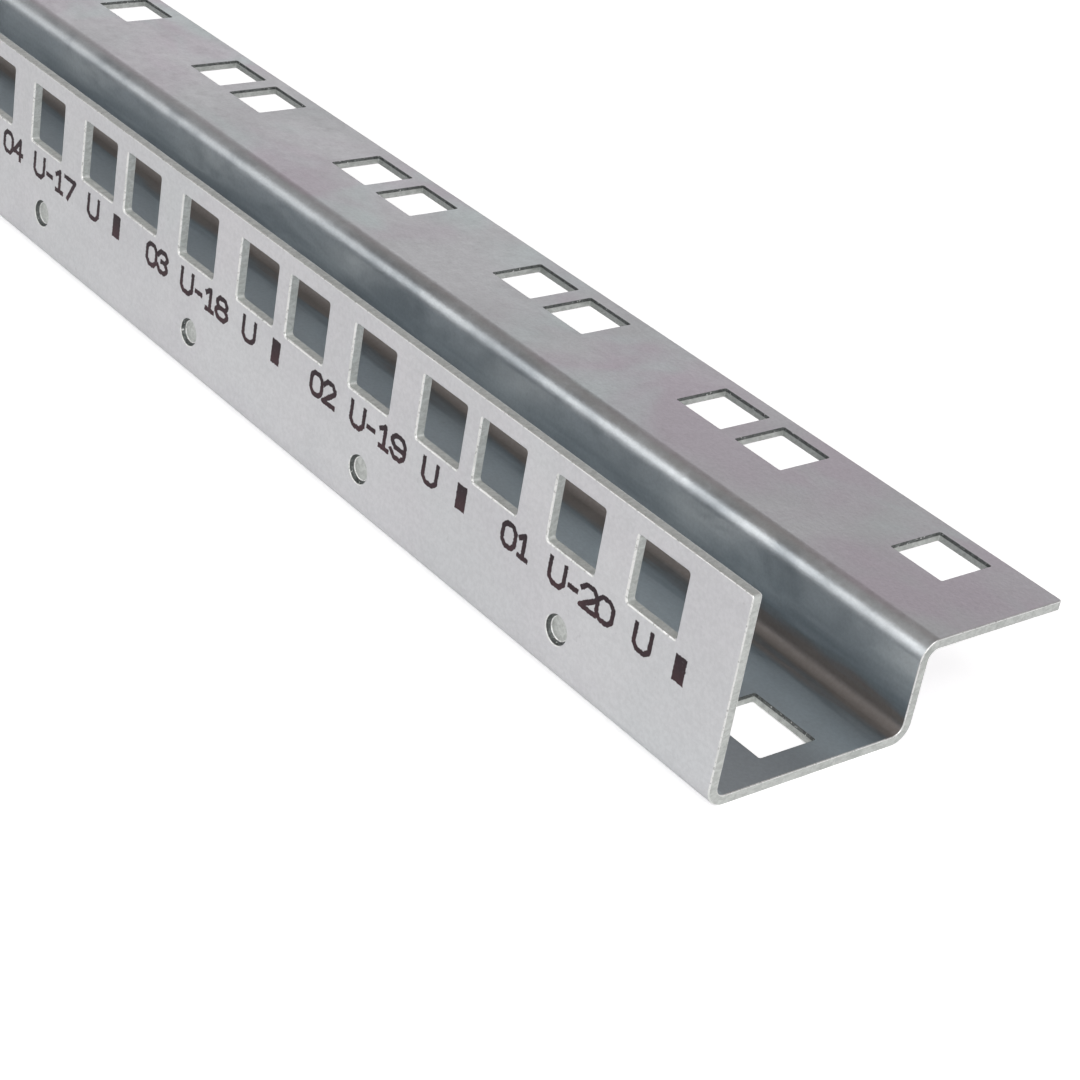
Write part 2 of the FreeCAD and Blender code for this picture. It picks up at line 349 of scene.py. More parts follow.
class SheetMesh:
    """Collects the rail's points, their normals and its faces."""

    def __init__(self, fold):
        self.fold = fold
        self.flat = []
        self.points = []
        self.normals = []
        self.faces = []
        self.finishes = []

    def point(self, x, s, n, lean):
        """Adds a point of the flat sheet and its normal, and gives its index."""
        self.flat.append((x, s))
        self.points.append(self.fold.place(x, s, n))
        self.normals.append(self.fold.aim(s, lean))
        return len(self.points) - 1

    def ring(self, centre, outline, out, n, lean):
        """The outline at centre, moved outward by out, at the height n. lean
        is its normal, outward and up."""
        ring = []
        for (px, ps), (ox, os) in outline:
            ring.append(self.point(
                centre[0] + px + ox * out, centre[1] + ps + os * out, n,
                (ox * lean[0], os * lean[0], lean[1]),
            ))
        return ring

    def face(self, corners, finish):
        self.faces.append(tuple(corners))
        self.finishes.append(finish)

    def sweep(self, centre, outline, stops):
        """Rings joined one to the next, of which it gives the first and last.
        Each stop is (out, n, lean, finish), its finish that of the band that
        follows it. A lit-lip band is burnished towards lower x and higher s, a
        painted highlight on the lit side, and plated elsewhere."""
        rings = [self.ring(centre, outline, *stop[:3]) for stop in stops]
        for first, second, stop in zip(rings, rings[1:], stops):
            for index, corner in enumerate(first):
                after = (index + 1) % len(first)
                finish = stop[3]
                # Painted highlight: the lip is burnished on its lit side only.
                if finish == LIT_LIP:
                    out = Vector(outline[index][1]) + Vector(outline[after][1])
                    finish = BURNISHED if out.y - out.x > LIT_LIP_FROM else PLATED
                self.face((corner, first[after], second[after], second[index]), finish)
        return rings[0], rings[-1]

    def band(self, low_row, high_row, side):
        """Squares between two rows of points that run along the rail."""
        for a, b, c, d in zip(low_row, low_row[1:], high_row[1:], high_row):
            self.face((a, b, c, d) if side == UPPER else (d, c, b, a), PLATED)

    def cover(self, loop, rings, side):
        """Fills a loop of points, apart from the rings inside it."""
        corners = []
        owner = {}
        edges = []
        for group, ring in enumerate([loop, *rings]):
            first = len(corners)
            for index, corner in enumerate(ring):
                if group:
                    owner[corner] = group
                corners.append(corner)
                edges.append((first + index, first + (index + 1) % len(ring)))
        spots = [Vector(self.flat[corner]) / MM for corner in corners]
        _, _, triangles, sources, _, _ = delaunay_2d_cdt(
            spots, edges, [], ALL_TRIANGLES, SHEET_NEAR
        )
        origin = [corners[found[0]] for found in sources]
        for triangle in triangles:
            ends = [origin[index] for index in triangle]
            groups = {owner.get(end, 0) for end in ends}
            if len(groups) == 1 and 0 not in groups:
                continue
            self.face(ends if side == UPPER else reversed(ends), PLATED)

    def piece(self, name, materials):
        piece = new_piece(name, self.points, self.faces, materials)
        mesh = piece.data
        mesh.polygons.foreach_set("material_index", self.finishes)
        mesh.shade_smooth()
        mesh.normals_split_custom_set_from_vertices(self.normals)
        return piece


def hole_stops(half, holes, exit_finish):
    """A punched wall from the upper face to the lower one: the exit edge and
    the part next to it, which can be torn, the smooth part and the lip that
    the punch rolled over."""
    stops = []
    for across, drop, (lean, up) in rounding(holes.burr, holes.burr, 2):
        out = holes.taper + holes.burr - across
        stops.append((out, half - drop, (-lean, up), exit_finish))
    stops.append((0.0, half - holes.torn, (-1, 0), SHEARED))
    for across, drop, (lean, up) in reversed(rounding(holes.roll, holes.roll_depth, 5)):
        stops.append((holes.roll - across, drop - half, (-lean, -up), LIT_LIP))
    return stops


def dimple_stops(half, holes):
    """A dimple's floor, sloping wall and lip, on the lower face."""
    floor = -half + holes.dimple_depth
    fillet, slope, lip, lip_depth = 0.12 * MM, 0.35 * MM, 0.18 * MM, 0.08 * MM
    stops = [
        (-slope - fillet, floor, (0, -1), BURNISHED),
        (-slope - 0.3 * fillet, floor - 0.3 * fillet, (-0.5, -0.86), BURNISHED),
        # The dimple's wall is torn metal, painted dark as shade.
        (-slope, floor - fillet, (-0.83, -0.56), TORN_SHADED),
    ]
    for across, drop, (lean, up) in reversed(rounding(lip, lip_depth, 4)):
        stops.append((lip - across, drop - half, (-lean, -up), LIT_LIP))
    return stops


def pip_stops(half, holes):
    """The pip that a dimple pushes out of the upper face."""
    fillet, crown = 0.08 * MM, 0.12 * MM
    stops = [
        (fillet, half, (0, 1), PLATED),
        (0.3 * fillet, half + 0.3 * fillet, (0.7, 0.7), PLATED),
        (0.0, half + fillet, (1, 0), SHEARED),
    ]
    top = half + holes.dimple_depth
    for across, drop, (lean, up) in reversed(rounding(crown, crown, 3)):
        stops.append((across - crown, top - drop, (lean, up), PLATED))
    return stops


def edge_stops(half, sheet):
    """The sheared edge from the lower face to the upper one."""
    over = rounding(sheet.edge, sheet.edge, 3)
    stops = []
    for across, drop, (lean, up) in over:
        stops.append((across - sheet.edge, drop - half, (lean, -up), BURNISHED))
    stops[-1] = (*stops[-1][:3], SHEARED)
    for across, drop, (lean, up) in reversed(over):
        stops.append((across - sheet.edge, half - drop, (lean, up), BURNISHED))
    return stops


def perimeter(sheet, fold, half_run, levels, breaks):
    """The sheet's outline, anticlockwise, with a point at each level and at
    each break, and the levels' places in it on the left and on the right."""
    radius = sheet.blank_corner
    right, left = half_run - radius, radius - half_run
    top = fold.total
    outline, left_at, right_at = [], [], []
    for level in levels:
        right_at.append(len(outline))
        outline.append(((half_run, level), (1.0, 0.0)))
    outline += corner_turn(0, right, top - radius, radius, BLANK_STEPS)
    outline += [((x, top), (0.0, 1.0)) for x in reversed(breaks)]
    outline += corner_turn(1, left, top - radius, radius, BLANK_STEPS)
    for level in reversed(levels):
        left_at.append(len(outline))
        outline.append(((-half_run, level), (-1.0, 0.0)))
    left_at.reverse()
    outline += corner_turn(2, left, radius, radius, BLANK_STEPS)
    outline += [((x, 0.0), (0.0, -1.0)) for x in breaks]
    outline += corner_turn(3, right, radius, radius, BLANK_STEPS)
    return outline, left_at, right_at


def unit_lines(holes):
    """Where the unit lines lie along the rail, from the near end on."""
    first = UNITS * holes.unit / 2
    return [first - unit * holes.unit for unit in range(UNITS + 1)]


def punch_rows(mesh, sheet, holes, half, lines, places):
    """The walls of all holes and dimples. Their rings on the two faces come
    back by side and leg, for the faces to leave out."""
    square = punch_outline(holes.square, holes.square, holes.corner, 6)
    crisp = punch_outline(holes.square, holes.square, holes.sharp, 3)
    slot = punch_outline(holes.slot_run, holes.square, holes.sharp, 3)
    disc = round_outline(holes.dimple / 2)
    # Ragged holes: the torn part of the wall is painted dark as shade.
    clean, ragged = hole_stops(half, holes, SHEARED), hole_stops(half, holes, TORN_SHADED)
    outer_row = mesh.fold.total - holes.row
    web_start = sheet.bend + sheet.gauge
    slot_row = mesh.fold.span(WEB)[0] + holes.slot_row - web_start
    dimple_row = sheet.front - holes.dimple_height
    cuts = {side: {FRONT: [], WEB: [], OUTER: []} for side in (LOWER, UPPER)}

    def punch(leg, centre, shape, wall):
        upper, lower = mesh.sweep(centre, shape, wall)
        cuts[UPPER][leg].append(upper)
        cuts[LOWER][leg].append(lower)

    for line in lines:
        punch(WEB, (line - holes.slot_shift, slot_row), slot, ragged)
    for line in lines[:-1]:
        for place in places:
            punch(FRONT, (line - place, holes.row), square, clean)
        for place in (places[0], places[2]):
            punch(OUTER, (line - place, outer_row), crisp, ragged)
        centre = (line - places[1], dimple_row)
        floor, lip = mesh.sweep(centre, disc, dimple_stops(half, holes))
        mesh.face(reversed(floor), SHEARED)
        cuts[LOWER][FRONT].append(lip)
        foot, crown = mesh.sweep(centre, disc, pip_stops(half, holes))
        mesh.face(crown, PLATED)
        cuts[UPPER][FRONT].append(foot)
    return cuts


def fold_sheet(sheet, holes):
    """The whole rail as one closed mesh."""
    fold = Fold(sheet)
    mesh = SheetMesh(fold)
    half = sheet.gauge / 2 - sheet.film
    half_run = sheet.run / 2 - sheet.film
    lines = unit_lines(holes)
    spacing = (holes.unit - holes.gap) / 2
    places = [holes.gap / 2 + index * spacing for index in range(3)]

    # Breaks are where the rows of points that run along the rail have their
    # points: at the unit lines and midway between the holes of a unit. Levels
    # are where the rows lie: through each turn, so that the web and the riser
    # come between two of them.
    middles = [place + spacing / 2 for place in places[:2]]
    breaks = [line - middle for line in lines[:-1] for middle in middles]
    breaks = sorted(lines + breaks)
    levels = []
    for leg in TURNS:
        start, end = fold.span(leg)
        for step in range(TURN_STEPS + 1):
            levels.append(start + (end - start) * step / TURN_STEPS)

    outline, left_at, right_at = perimeter(sheet, fold, half_run, levels, breaks)
    rims = mesh.sweep((0.0, 0.0), outline, edge_stops(half, sheet))
    cuts = punch_rows(mesh, sheet, holes, half, lines, places)

    for side, rim in zip((LOWER, UPPER), rims):
        rows = []
        for level, left, right in zip(levels, left_at, right_at):
            row = [mesh.point(x, level, side * half, (0, 0, side)) for x in breaks]
            rows.append([rim[left], *row, rim[right]])
        # The web lies between the last row of the first turn and the next.
        for index, (row, following) in enumerate(zip(rows, rows[1:])):
            if index != TURN_STEPS:
                mesh.band(row, following, side)
        web = rows[TURN_STEPS] + rows[TURN_STEPS + 1][::-1]
        mesh.cover(web, cuts[side][WEB], side)
        front = rim[left_at[0] + 1:] + rim[:right_at[0] + 1] + rows[0][-2:0:-1]
        mesh.cover([rows[0][0], *front], cuts[side][FRONT], side)
        outer = rim[right_at[-1]:left_at[-1] + 1] + rows[-1][1:-1]
        mesh.cover(outer, cuts[side][OUTER], side)
    return mesh


def glyph_lines(character):
    """The strokes of a character, in a box one wide and one high, with cut
    corners. A stroke that ends where it starts is closed."""
    c, d = 0.26, 0.22
    loop = [
        (c, 0), (1 - c, 0), (1, d), (1, 1 - d), (1 - c, 1), (c, 1), (0, 1 - d), (0, d),
    ]
    hook = [(0, 1 - d), (c, 1), (1 - c, 1), (1, 1 - d)]
    belly = [(1, 0.52 - d), (1, d), (1 - c, 0), (c, 0), (0, d)]
    six = [
        (1, 1 - d), (1 - c, 1), (c, 1), (0, 1 - d), (0, d), (c, 0), (1 - c, 0), (1, d),
        (1, 0.54 - d), (1 - c, 0.54), (0, 0.54),
    ]
    return {
        "0": [loop + loop[:1]],
        "1": [[(0.14, 0.8), (0.5, 1), (0.5, 0)], [(0.2, 0), (0.8, 0)]],
        "2": [hook + [(1, 0.66), (0, 0), (1, 0)]],
        "3": [
            hook + [(1, 0.52 + d), (1 - c, 0.52), (1, 0.52 - d)] + belly[1:],
            [(0.4, 0.52), (1 - c, 0.52)],
        ],
        "4": [[(0.76, 0), (0.76, 1), (0, 0.3), (1, 0.3)]],
        "5": [[(1, 1), (0, 1), (0, 0.56), (1 - c, 0.56), (1, 0.56 - d)] + belly[1:]],
        "6": [six],
        "7": [[(0, 1), (1, 1), (0.35, 0)]],
        "8": [
            [
                (c, 0.52), (0.06, 0.7), (0.06, 1 - d), (c, 1), (1 - c, 1),
                (0.94, 1 - d), (0.94, 0.7), (1 - c, 0.52), (c, 0.52),
            ],
            [
                (c, 0.52), (0, 0.34), (0, d), (c, 0), (1 - c, 0), (1, d), (1, 0.34),
                (1 - c, 0.52), (c, 0.52),
            ],
        ],
        "9": [[(1 - x, 1 - y) for x, y in six]],
        "U": [[(0, 1), (0, d), (c, 0), (1 - c, 0), (1, d), (1, 1)]],
        "-": [[(0, 0.42), (1, 0.42)]],
    }[character]


def ribbon(path, width):
    """Convex pieces that draw a stroke of this width: a bar along each line of
    the path and an octagon at each turn. Its open ends are blunt."""
    path = [Vector(point) for point in path]
    closed = (path[0] - path[-1]).length < CLOSED
    last = len(path) - 2
    pieces = []
    for index, (start, end) in enumerate(zip(path, path[1:])):
        way = (end - start).normalized() * width / 2
        side = Vector((-way.y, way.x))
        if not closed and index == 0:
            start = start - way
        if not closed and index == last:
            end = end + way
        pieces.append((start - side, end - side, end + side, start + side))
    for point in path if closed else path[1:-1]:
        octagon = []
        for step in range(8):
            angle = (step + 0.5) * math.pi / 4
            spoke = Vector((math.cos(angle), math.sin(angle)))
            octagon.append(point + spoke * width / 2)
        pieces.append(octagon)
    return pieces


# Where the marks of a unit start, from its unit line along the rail.
UP_START, UP_LETTER, DASH_START = -35.7 * MM, -25.8 * MM, -21.7 * MM
DOWN_START, DOWN_LETTER = -19.35 * MM, -8.85 * MM
DASH = 2.1 * MM

# A stroke is closed whose ends are nearer than this.
CLOSED = 0.01 * MM

# How much shorter than the numerals a block is, below and above.
BLOCK_FOOT, BLOCK_HEAD = 0.1 * MM, 0.15 * MM


def ink_pieces(scale, holes):
    """Printed shapes, each a list of polygons on the front face, x and z."""
    shapes = []
    half = scale.stroke / 2
    for unit, line in enumerate(unit_lines(holes)[:-1]):
        up, down = f"{unit + 1:02d}", f"{UNITS - unit:02d}"
        marks = (
            (up[0], UP_START, scale.digit),
            (up[1], UP_START + scale.advance, scale.digit),
            ("U", UP_LETTER, scale.letter),
            ("-", DASH_START, DASH),
            (down[0], DOWN_START, scale.wide_digit),
            (down[1], DOWN_START + scale.advance, scale.wide_digit),
            ("U", DOWN_LETTER, scale.letter),
        )
        polygons = []
        for character, start, width in marks:
            for path in glyph_lines(character):
                placed = []
                for gx, gz in path:
                    placed.append((
                        line + start + half + gx * (width - 2 * half),
                        scale.foot + half + gz * (scale.height - 2 * half),
                    ))
                polygons += ribbon(placed, scale.stroke)
        shapes.append(polygons)
        x0, x1 = line - scale.block / 2, line + scale.block / 2
        z0 = scale.foot + BLOCK_FOOT
        z1 = scale.foot + scale.height - BLOCK_HEAD
        shapes.append([[(x0, z0), (x1, z0), (x1, z1), (x0, z1)]])
    return shapes


# How ink creeps: the steps along a border, the pitch of the noise per
# millimetre, the second noise's distance from the first, and the swing.
INK_STEP, INK_PITCH, INK_APART, INK_SWING = 0.18 * MM, 4.6, 9.7, 1.5


def rough_border(polygon, rough):
    """A polygon's border in short steps, in millimetres, with every point
    moved as ink creeps. Points that two polygons share move together."""
    border = []
    for index, corner in enumerate(polygon):
        start, end = Vector(corner), Vector(polygon[(index + 1) % len(polygon)])
        steps = max(1, round((end - start).length / INK_STEP))
        for step in range(steps):
            spot = start.lerp(end, step / steps) / MM
            across = noise.noise(Vector((spot.x, spot.y, 0.0)) * INK_PITCH)
            along = noise.noise(Vector((spot.x, spot.y, INK_APART)) * INK_PITCH)
            border.append(spot + Vector((across, along)) * rough / MM * INK_SWING)
    return border


def print_scale(sheet, scale, holes, material):
    """All the printed shapes as one mesh of thin closed films."""
    face, back = LOW.y, LOW.y + 2 * sheet.film
    points, faces = [], []
    for polygons in ink_pieces(scale, holes):
        spots, outlines = [], []
        for polygon in polygons:
            border = rough_border(polygon, scale.rough)
            outlines.append(list(range(len(spots), len(spots) + len(border))))
            spots += border
        vertices, _, triangles, _, _, owners = delaunay_2d_cdt(
            spots, [], outlines, ALL_TRIANGLES, INK_NEAR
        )
        first, count = len(points), len(vertices)
        for y in (face, back):
            points += [(spot.x * MM, y, spot.y * MM) for spot in vertices]
        # An edge stays in borders when only one triangle has it.
        borders = {}
        for triangle, owner in zip(triangles, owners):
            if not owner:
                continue
            a, b, c = (first + index for index in triangle)
            faces.append((a, b, c))
            faces.append((c + count, b + count, a + count))
            for edge in ((a, b), (b, c), (c, a)):
                if edge[::-1] in borders:
                    del borders[edge[::-1]]
                else:
                    borders[edge] = True
        for a, b in borders:
            faces.append((b, a, a + count, b + count))
    used = sorted({corner for corners in faces for corner in corners})
    place = {old: new for new, old in enumerate(used)}
    points = [points[old] for old in used]
    faces = [tuple(place[corner] for corner in corners) for corners in faces]
    return new_piece("unit_scale", points, faces, [material])


class Nodes:
    """A short way to write a tree of shader nodes."""

    def __init__(self, owner):
        owner.use_nodes = True
        self.tree = owner.node_tree
        self.tree.nodes.clear()

    def add(self, kind, setting=None, **inputs):
        """A node with its settings, and its inputs by name."""
        node = self.tree.nodes.new("ShaderNode" + kind)
        for name, value in (setting or {}).items():
            setattr(node, name, value)
        for name, value in inputs.items():
            self.plug(node.inputs[name.replace("_", " ")], value)
        return node

    def plug(self, socket, value):
        """Links a socket to another, or sets its value."""
        if isinstance(value, bpy.types.NodeSocket):
            self.tree.links.new(value, socket)
        else:
            socket.default_value = value

    def maths(self, operation, *values):
        node = self.add("Math", {"operation": operation})
        for socket, value in zip(node.inputs, values):
            self.plug(socket, value)
        return node.outputs[0]

    def product(self, first, *others):
        for other in others:
            first = self.maths("MULTIPLY", first, other)
        return first

    def total(self, first, *others):
        for other in others:
            first = self.maths("ADD", first, other)
        return first

    def spread(self, value, low, high, to_low, to_high):
        """Carries a value from one range to another, and stops at its ends."""
        node = self.add(
            "MapRange", {"interpolation_type": "SMOOTHSTEP"},
            Value=value, From_Min=low, From_Max=high, To_Min=to_low, To_Max=to_high,
        )
        return node.outputs[0]

    def mix(self, factor, first, second, blend="MIX"):
        """A mix of two colours. The node has sockets of the same names for
        other kinds of value, so those of the colours go by number."""
        node = self.add("Mix", {"data_type": "RGBA", "blend_type": blend})
        self.plug(node.inputs[0], factor)
        self.plug(node.inputs[6], first)
        self.plug(node.inputs[7], second)
        return node.outputs[2]

    def grey(self, value):
        return self.add("CombineColor", Red=value, Green=value, Blue=value).outputs[0]

    def place(self, scale=(1, 1, 1), offset=(0, 0, 0)):
        """The object's own coordinates, in metres."""
        where = self.add("TexCoord").outputs["Object"]
        node = self.add("Mapping", Vector=where, Scale=scale, Location=offset)
        return node.outputs[0]

    def noise(self, vector, scale, detail=2.0, roughness=0.5, distortion=0.0):
        """Noise from 0 to 1. The scale is its waves per metre."""
        node = self.add(
            "TexNoise", Vector=vector, Scale=scale, Detail=detail,
            Roughness=roughness, Distortion=distortion,
        )
        return node.outputs["Fac"]

    def bump(self, height, strength, distance, **inputs):
        node = self.add(
            "Bump", Height=height, Strength=strength, Distance=distance, **inputs
        )
        return node.outputs[0]

    def lobe(self, way, centre, wide, narrow, outside, inside):
        """A grey that changes where a way comes near the centre's, from one
        angle off it, in degrees, to a smaller one."""
        node = self.add("VectorMath", {"operation": "DOT_PRODUCT"})
        self.plug(node.inputs[0], way)
        self.plug(node.inputs[1], Vector(centre).normalized())
        edge, core = math.cos(math.radians(wide)), math.cos(math.radians(narrow))
        value = self.spread(node.outputs["Value"], edge, core, outside, inside)
        return self.grey(value)

    def coat(self, base, rough, bump, metallic=1.0, **inputs):
        """The one shader of a material."""
        shader = self.add(
            "BsdfPrincipled", Base_Color=base, Roughness=rough, Metallic=metallic,
            Normal=bump, **inputs,
        )
        self.close(shader.outputs[0])

    def close(self, shader, kind="OutputMaterial"):
        self.add(kind, Surface=shader)


def rgba(value, strength=1.0):
    """A colour for a socket, made lighter or darker."""
    return (*(strength * part for part in value), 1.0)


# Colours of small marks: dust in the plating, nicks in a lip, dull patches of
# a sheared wall, and ink where it is thin and where it has a pore.
DUST = (0.33, 0.33, 0.34)
NICK = (0.4, 0.41, 0.4)
DULL = (0.42, 0.45, 0.43)
THIN_INK = (0.052, 0.02, 0.026)
PORE = (0.2, 0.19, 0.2)


def section_masks(nodes, sheet, y, z):
    """Where a point lies on the section. The channel is clear of the front
    flange, short of the riser's back and above the underside, and its mask
    carries the painted light and shade. The outer flange's mask rises from
    the riser on."""
    half = sheet.gauge / 2
    bend_start = LOW.y + sheet.base - half
    bend_end = LOW.y + sheet.base + sheet.bend
    behind = nodes.spread(y, LOW.y + 2.5 * half, LOW.y + 4 * half, 0.0, 1.0)
    short = nodes.spread(y, bend_start, bend_end - half, 1.0, 0.0)
    above = nodes.spread(z, 0.8 * half, 1.2 * half, 0.0, 1.0)
    outer = nodes.spread(y, bend_start, bend_end, 0.14, 1.0)
    return nodes.product(behind, short, above), outer


def fold_shade_and_reflection(nodes, sheet, y, z):
    """How strong the painted shade, dark blue, and the painted brown
    reflection are, which follow the fold between the web and the riser.
    The shade is also darker towards the bottom and in random patches."""
    fold = nodes.add("CombineXYZ", Y=LOW.y + sheet.base - sheet.gauge, Z=sheet.gauge)
    flat = nodes.add("CombineXYZ", Y=y, Z=z)
    away = nodes.add("VectorMath", {"operation": "DISTANCE"})
    nodes.plug(away.inputs[0], flat.outputs[0])
    nodes.plug(away.inputs[1], fold.outputs[0])
    drift = nodes.noise(nodes.place(scale=(0.12, 1, 1)), 420.0, 2.0, 0.5)
    drift = nodes.spread(drift, 0.3, 0.7, -1.2 * MM, 1.2 * MM)
    reach = nodes.total(away.outputs["Value"], drift)
    patches = nodes.noise(nodes.place(scale=(0.5, 1, 1)), 110.0, 3.0, 0.6, 0.5)
    # Painted shade, strongest near the fold, darker towards the bottom and in random
    # patches.
    painted_shade_amount = nodes.spread(reach, 2.0 * MM, 9.0 * MM, 0.95, 0.0)
    low = nodes.spread(z, sheet.gauge, 5.0 * MM, 0.5, 0.0)
    painted_shade_amount = nodes.maths("MAXIMUM", painted_shade_amount, low)
    patches = nodes.spread(patches, 0.42, 0.68, 0.0, 0.5)
    painted_shade_amount = nodes.maths("MAXIMUM", painted_shade_amount, patches)
    return painted_shade_amount, nodes.spread(reach, 1.5 * MM, 4.0 * MM, 0.8, 0.0)


def zinc_plated_steel(finish, sheet):
    """Bright zinc with its clear passivation: soft clouds, warm and cool
    tints, fine rolling lines and the grain of the skin-passed sheet. The
    tints are strongest on the outer flange. Painted light and shade lie
    over it: a darker, bluer painted shade in the channel, painted light at
    the top of the riser, and a painted shade and a painted brown reflection
    beside the lower fold."""
    material = bpy.data.materials.new("zinc_plated_steel")
    nodes = Nodes(material)
    plain = nodes.place()
    clouds = nodes.noise(plain, 42.0, 3.0, 0.55, 0.4)
    warm = nodes.noise(nodes.place(offset=(3.1, 1.7, 0.4)), 34.0, 2.0, 0.5, 0.8)
    cool = nodes.noise(nodes.place(offset=(7.9, 5.3, 2.6)), 41.0, 2.0, 0.5, 0.8)
    grain = nodes.noise(plain, 1900.0, 2.0, 0.6)
    rolled = nodes.noise(nodes.place(scale=(0.035, 1, 1)), 1500.0, 2.0, 0.6)
    specks = nodes.noise(plain, 620.0, 3.0, 0.65)

    where = nodes.add("SeparateXYZ", Vector=plain)
    y, z = where.outputs["Y"], where.outputs["Z"]
    channel, outer = section_masks(nodes, sheet, y, z)
    hazy = nodes.spread(clouds, 0.35, 0.68, 0.0, 0.8)
    base = nodes.mix(hazy, rgba(finish.zinc), rgba(finish.haze))
    warm = nodes.product(nodes.spread(warm, 0.38, 0.64, 0.0, 0.95), outer)
    base = nodes.mix(warm, base, rgba(finish.rose))
    cool = nodes.product(nodes.spread(cool, 0.48, 0.7, 0.0, 0.9), outer)
    base = nodes.mix(cool, base, rgba(finish.teal))
    # Painted shade: the plating inside the channel is made darker and bluer.
    base = nodes.mix(nodes.product(channel, 0.8), base, rgba(finish.channel))
    # Painted light: the top of the riser, inside the channel, is made lighter where
    # light falls on it.
    upper = nodes.spread(z, 8.0 * MM, sheet.step - sheet.gauge, 0.0, 0.8)
    base = nodes.mix(nodes.product(channel, upper), base, rgba(finish.bright))

    # Painted shade and a painted brown reflection beside the lower fold, inside the
    # channel.
    painted_shade_amount, painted_reflection_amount = fold_shade_and_reflection(nodes, sheet, y, z)
    base = nodes.mix(nodes.product(painted_shade_amount, channel), base, rgba(finish.painted_fold_shade))
    # Painted brown reflection along the lower fold.
    painted_reflection_amount = nodes.product(painted_reflection_amount, channel)
    base = nodes.mix(painted_reflection_amount, base, rgba(finish.painted_fold_reflection))
    dusty = nodes.spread(specks, 0.66, 0.8, 0.0, 0.22)
    base = nodes.mix(dusty, base, rgba(DUST))
    shade = nodes.product(
        nodes.spread(grain, 0.3, 0.7, 0.955, 1.03),
        nodes.spread(rolled, 0.3, 0.7, 0.99, 1.01),
    )
    base = nodes.mix(1.0, base, nodes.grey(shade), "MULTIPLY")

    rough = nodes.total(
        nodes.spread(clouds, 0.3, 0.7, 0.31, 0.38),
        nodes.spread(specks, 0.35, 0.75, 0.0, 0.08), nodes.product(painted_reflection_amount, 0.2),
    )
    height = nodes.total(
        nodes.product(grain, 0.7), nodes.product(rolled, 0.15),
        nodes.product(specks, 1.5),
    )
    fine = nodes.bump(height, 0.8, 0.02 * MM)
    waves = nodes.noise(plain, 170.0, 2.0, 0.5)
    nodes.coat(base, rough, nodes.bump(waves, 0.5, 0.02 * MM, Normal=fine))
    return material


def burnished_lip(finish):
    """Edges that the punch and the shear rubbed smooth, nicked here and there."""
    material = bpy.data.materials.new("burnished_lip")
    nodes = Nodes(material)
    plain = nodes.place()
    nicks = nodes.noise(plain, 2100.0, 3.0, 0.7)
    worn = nodes.noise(plain, 320.0, 2.0, 0.5)
    worn = nodes.spread(worn, 0.45, 0.7, 0.0, 0.6)
    base = nodes.mix(worn, rgba(finish.lip), rgba(finish.cut))
    base = nodes.mix(nodes.spread(nicks, 0.54, 0.66, 0.0, 0.7), base, rgba(NICK))
    rough = nodes.spread(nicks, 0.3, 0.7, 0.26, 0.45)
    nodes.coat(base, rough, nodes.bump(nicks, 0.5, 0.03 * MM))
    return material


def torn_steel_painted_shade(finish):
    """Where the slug broke out of a hole: dull, pitted and nearly unplated,
    and painted dark as shade; it also lines the walls of the dimples.
    """
    material = bpy.data.materials.new("torn_wall_painted_shade")
    nodes = Nodes(material)
    plain = nodes.place()
    pits = nodes.noise(plain, 1700.0, 4.0, 0.75, 0.8)
    glints = nodes.noise(plain, 2600.0, 2.0, 0.5)
    pitted = nodes.spread(pits, 0.35, 0.65, 0.0, 1.0)
    base = nodes.mix(pitted, rgba(finish.torn), rgba(finish.torn, 0.5))
    base = nodes.mix(nodes.spread(glints, 0.64, 0.74, 0.0, 0.9), base, rgba(finish.lip))
    rough = nodes.spread(glints, 0.6, 0.74, 0.66, 0.35)
    nodes.coat(base, rough, nodes.bump(pits, 0.8, 0.06 * MM))
    return material


def sheared_steel(finish):
    """Cut edges, plated over and scored the way the punch went."""
    material = bpy.data.materials.new("sheared_edge")
    nodes = Nodes(material)
    plain = nodes.place()
    scored = nodes.noise(nodes.place(scale=(1, 0.6, 1)), 1500.0, 4.0, 0.7, 0.6)
    patches = nodes.noise(plain, 380.0, 2.0, 0.5)
    deep = nodes.spread(scored, 0.35, 0.65, 0.0, 1.0)
    base = nodes.mix(deep, rgba(finish.cut, 1.05), rgba(finish.cut, 0.88))
    base = nodes.mix(nodes.spread(patches, 0.5, 0.75, 0.0, 0.4), base, rgba(DULL))
    rough = nodes.spread(scored, 0.3, 0.7, 0.5, 0.68)
    nodes.coat(base, rough, nodes.bump(scored, 0.5, 0.03 * MM))
    return material


def printing_ink(finish, scale):
    """Pad-printed ink, thinner towards the foot so that a redder tone shows."""
    material = bpy.data.materials.new("printing_ink")
    nodes = Nodes(material)
    plain = nodes.place()
    thin = nodes.noise(plain, 420.0, 3.0, 0.6)
    pores = nodes.noise(plain, 3600.0, 1.0, 0.5)
    z = nodes.add("SeparateXYZ", Vector=plain).outputs["Z"]
    low = nodes.spread(z, scale.foot, scale.foot + scale.height, 0.95, 0.1)
    red = nodes.product(nodes.spread(thin, 0.3, 0.65, 0.25, 1.0), low)
    base = nodes.mix(red, rgba(finish.ink), rgba(THIN_INK))
    base = nodes.mix(nodes.spread(pores, 0.62, 0.8, 0.0, 0.3), base, rgba(PORE))
    bump = nodes.bump(pores, 0.3, 0.01 * MM)
    nodes.coat(base, 0.5, bump, metallic=0.0, Specular_IOR_Level=0.3)
    return material


# How much the floor is lifted where the camera sees it, and in a mirroring.
FLOOR_SEEN, FLOOR_MIRRORED = 0.52, 0.09


